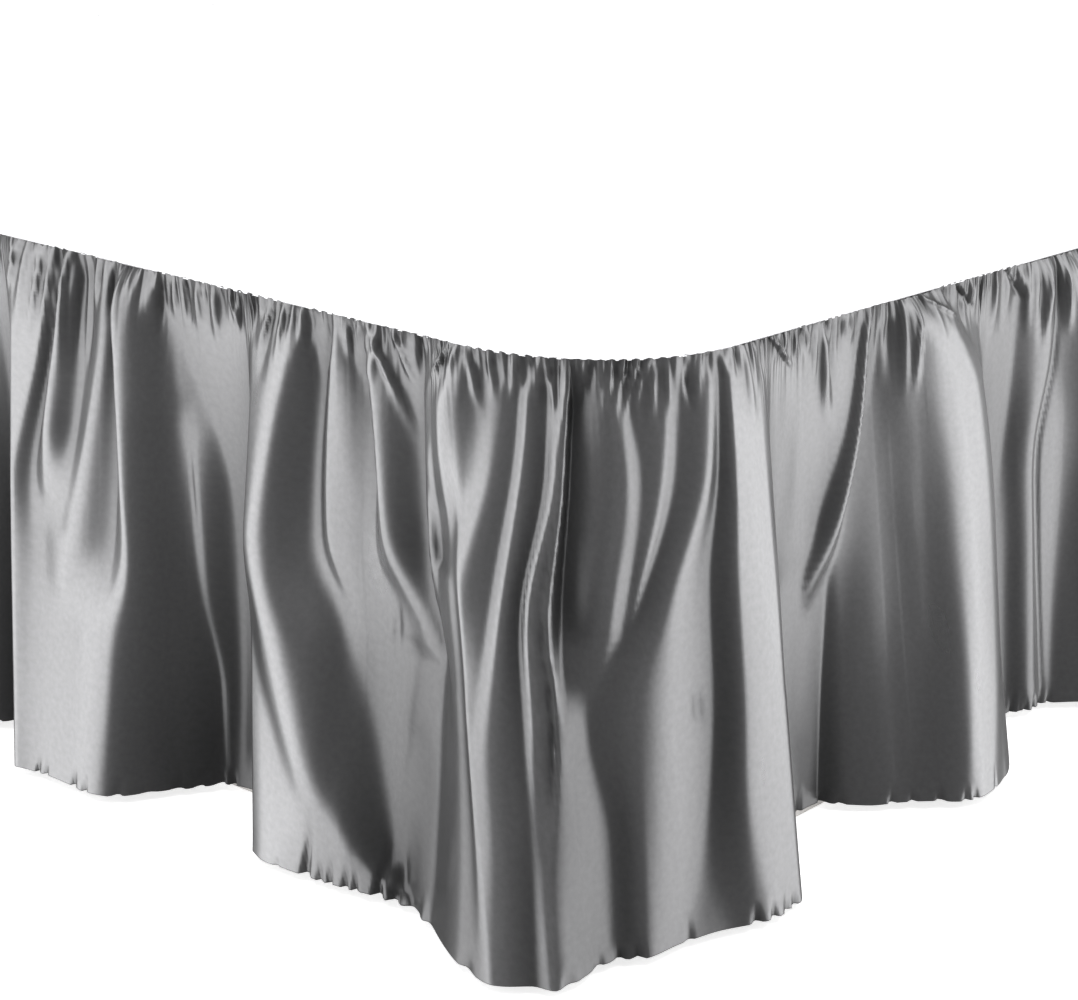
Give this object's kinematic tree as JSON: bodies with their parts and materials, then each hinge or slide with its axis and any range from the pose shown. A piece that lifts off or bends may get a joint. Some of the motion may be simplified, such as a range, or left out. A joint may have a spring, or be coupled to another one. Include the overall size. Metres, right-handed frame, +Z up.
{
  "type": "bed skirt on a bed base",
  "caption": "Gathered satin bed skirt hanging in deep lobes to the floor on three sides of a plain bed base, sewn to a flat off-white deck.",
  "frame": {"origin": "on the floor under the middle of the bed base", "axes": "+Y towards the head of the bed, -Y towards its foot, +Z up"},
  "size_m": [1.6986, 2.1391, 0.38],
  "materials": {
    "satin": "shiny grey satin, gathered",
    "deck_cloth": "plain off-white woven sheet",
    "base_cover": "plain pale woven cover"
  },
  "bodies": {
    "root": {"bed_base": "base_cover", "deck": "deck_cloth", "drop": "satin"}
  },
  "joints": []
}
